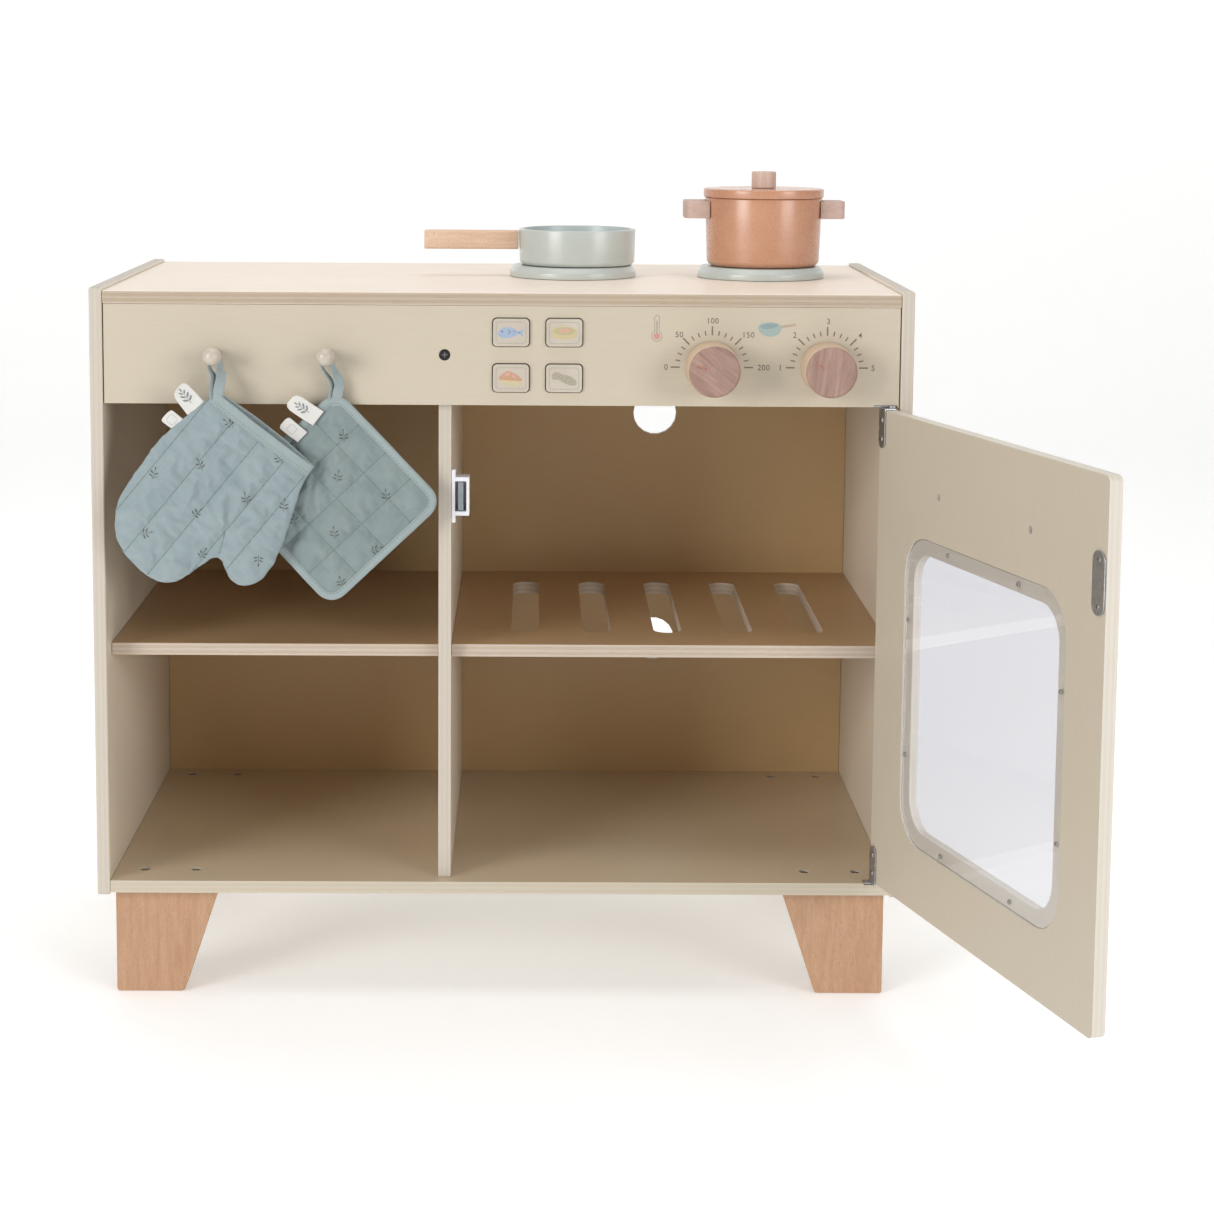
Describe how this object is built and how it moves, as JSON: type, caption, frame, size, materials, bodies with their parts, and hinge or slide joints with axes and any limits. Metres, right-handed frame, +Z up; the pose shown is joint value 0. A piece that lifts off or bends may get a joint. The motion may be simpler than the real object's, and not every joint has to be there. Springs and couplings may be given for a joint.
{
  "type": "toy kitchen",
  "caption": "Low wooden play kitchen: hob worktop, open shelf bay, oven with hinged window door, knobs, push buttons, lidded pot, pan, mitt and pot holder.",
  "frame": {"origin": "under the middle of the bounding box of the whole object with its door open, on the ground", "axes": "+X to the right across the front, +Y from the front to the back panel, +Z up"},
  "size_m": [0.704, 0.6376, 0.6362],
  "materials": {
    "cream_lacquer": "satin cream lacquer on plywood",
    "worktop_lacquer": "matt clear lacquer on pale plywood",
    "tan_lacquer": "satin tan lacquer on plywood",
    "beech": "oiled beech",
    "zinc": "zinc plated steel",
    "black_steel": "black oxide steel",
    "sage_paint": "satin sage green lacquer",
    "terracotta_paint": "satin terracotta lacquer",
    "button_paint": "satin off-white lacquer",
    "clear_acrylic": "clear acrylic sheet",
    "catch_plastic": "moulded plastic",
    "magnet_steel": "grey magnet",
    "spring_steel": "spring steel wire",
    "grey_green_cotton": "quilted woven cotton"
  },
  "bodies": {
    "cabinet": {"left_side_panel": "cream_lacquer", "right_side_panel": "cream_lacquer", "floor_panel": "tan_lacquer", "worktop": "worktop_lacquer", "back_panel": "cream_lacquer", "fascia_panel": "cream_lacquer", "divider_panel": "tan_lacquer", "left_shelf": "tan_lacquer", "oven_rack": "tan_lacquer", "left_front_leg": "beech", "left_rear_leg": "beech", "right_front_leg": "beech", "right_rear_leg": "beech", "left_front_leg_bolt_outer": "zinc", "left_front_leg_bolt_inner": "zinc", "left_rear_leg_bolt_outer": "zinc", "left_rear_leg_bolt_inner": "zinc", "right_front_leg_bolt_outer": "zinc", "right_front_leg_bolt_inner": "zinc", "right_rear_leg_bolt_outer": "zinc", "right_rear_leg_bolt_inner": "zinc", "divider_screw": "black_steel", "left_hob_plate": "sage_paint", "right_hob_plate": "sage_paint", "left_hook_peg": "cream_lacquer", "right_hook_peg": "cream_lacquer", "upper_hinge_plate": "zinc", "lower_hinge_plate": "zinc", "catch_housing": "catch_plastic", "catch_magnet": "magnet_steel", "button_tray": "tan_lacquer", "button_spring_top_left": "spring_steel", "button_spring_top_right": "spring_steel", "button_spring_bottom_left": "spring_steel", "button_spring_bottom_right": "spring_steel"},
    "door": {"door_panel": "cream_lacquer", "door_window": "clear_acrylic", "upper_hinge_leaf": "zinc", "lower_hinge_leaf": "zinc", "striker_plate": "zinc", "door_handle": "beech", "handle_screw_a": "zinc", "handle_screw_b": "zinc"},
    "temperature_dial": {"temperature_knob": "beech", "temperature_spindle": "zinc"},
    "hob_dial": {"hob_knob": "beech", "hob_spindle": "zinc"},
    "button_top_left": {"push_button_top_left": "button_paint"},
    "button_top_right": {"push_button_top_right": "button_paint"},
    "button_bottom_left": {"push_button_bottom_left": "button_paint"},
    "button_bottom_right": {"push_button_bottom_right": "button_paint"},
    "pan": {"pan_body": "sage_paint", "pan_handle": "beech"},
    "pot": {"pot_body": "terracotta_paint", "pot_left_handle": "beech", "pot_right_handle": "beech"},
    "lid": {"pot_lid": "terracotta_paint", "lid_knob": "beech"},
    "mitt": {"oven_mitt": "grey_green_cotton"},
    "holder": {"pot_holder": "grey_green_cotton"}
  },
  "joints": [
    {"name": "door_hinge", "type": "hinge", "parent": "cabinet", "child": "door", "pos_m": [0.25275, 0.00117, 0.2794], "axis": [0, 0, 1], "range_deg": [-107, 18]},
    {"name": "temperature_turn", "type": "hinge", "parent": "cabinet", "child": "temperature_dial", "pos_m": [0.11595, -0.01573, 0.4943], "axis": [0, 1, 0], "continuous": true},
    {"name": "hob_turn", "type": "hinge", "parent": "cabinet", "child": "hob_dial", "pos_m": [0.20265, -0.01573, 0.4943], "axis": [0, 1, 0], "continuous": true},
    {"name": "press_top_left", "type": "slide", "parent": "cabinet", "child": "button_top_left", "axis": [0, 1, 0], "range_m": [0, 0.0025], "stiffness_N_per_m": 150, "deforming": ["button_spring_top_left"]},
    {"name": "press_top_right", "type": "slide", "parent": "cabinet", "child": "button_top_right", "axis": [0, 1, 0], "range_m": [0, 0.0025], "stiffness_N_per_m": 150, "deforming": ["button_spring_top_right"]},
    {"name": "press_bottom_left", "type": "slide", "parent": "cabinet", "child": "button_bottom_left", "axis": [0, 1, 0], "range_m": [0, 0.0025], "stiffness_N_per_m": 150, "deforming": ["button_spring_bottom_left"]},
    {"name": "press_bottom_right", "type": "slide", "parent": "cabinet", "child": "button_bottom_right", "axis": [0, 1, 0], "range_m": [0, 0.0025], "stiffness_N_per_m": 150, "deforming": ["button_spring_bottom_right"]},
    {"name": "pan_lift", "type": "slide", "parent": "cabinet", "child": "pan", "axis": [0, 0, 1], "range_m": [0, 0.12]},
    {"name": "pot_lift", "type": "slide", "parent": "cabinet", "child": "pot", "axis": [0, 0, 1], "range_m": [0, 0.12]},
    {"name": "lid_lift", "type": "slide", "parent": "pot", "child": "lid", "axis": [0, 0, 1], "range_m": [0, 0.1]},
    {"name": "mitt_swing", "type": "hinge", "parent": "cabinet", "child": "mitt", "pos_m": [-0.25735, -0.00873, 0.5028], "axis": [0, 1, 0], "range_deg": [-12, 12]},
    {"name": "holder_swing", "type": "hinge", "parent": "cabinet", "child": "holder", "pos_m": [-0.17305, -0.00673, 0.5028], "axis": [0, 1, 0], "range_deg": [-12, 12]}
  ]
}
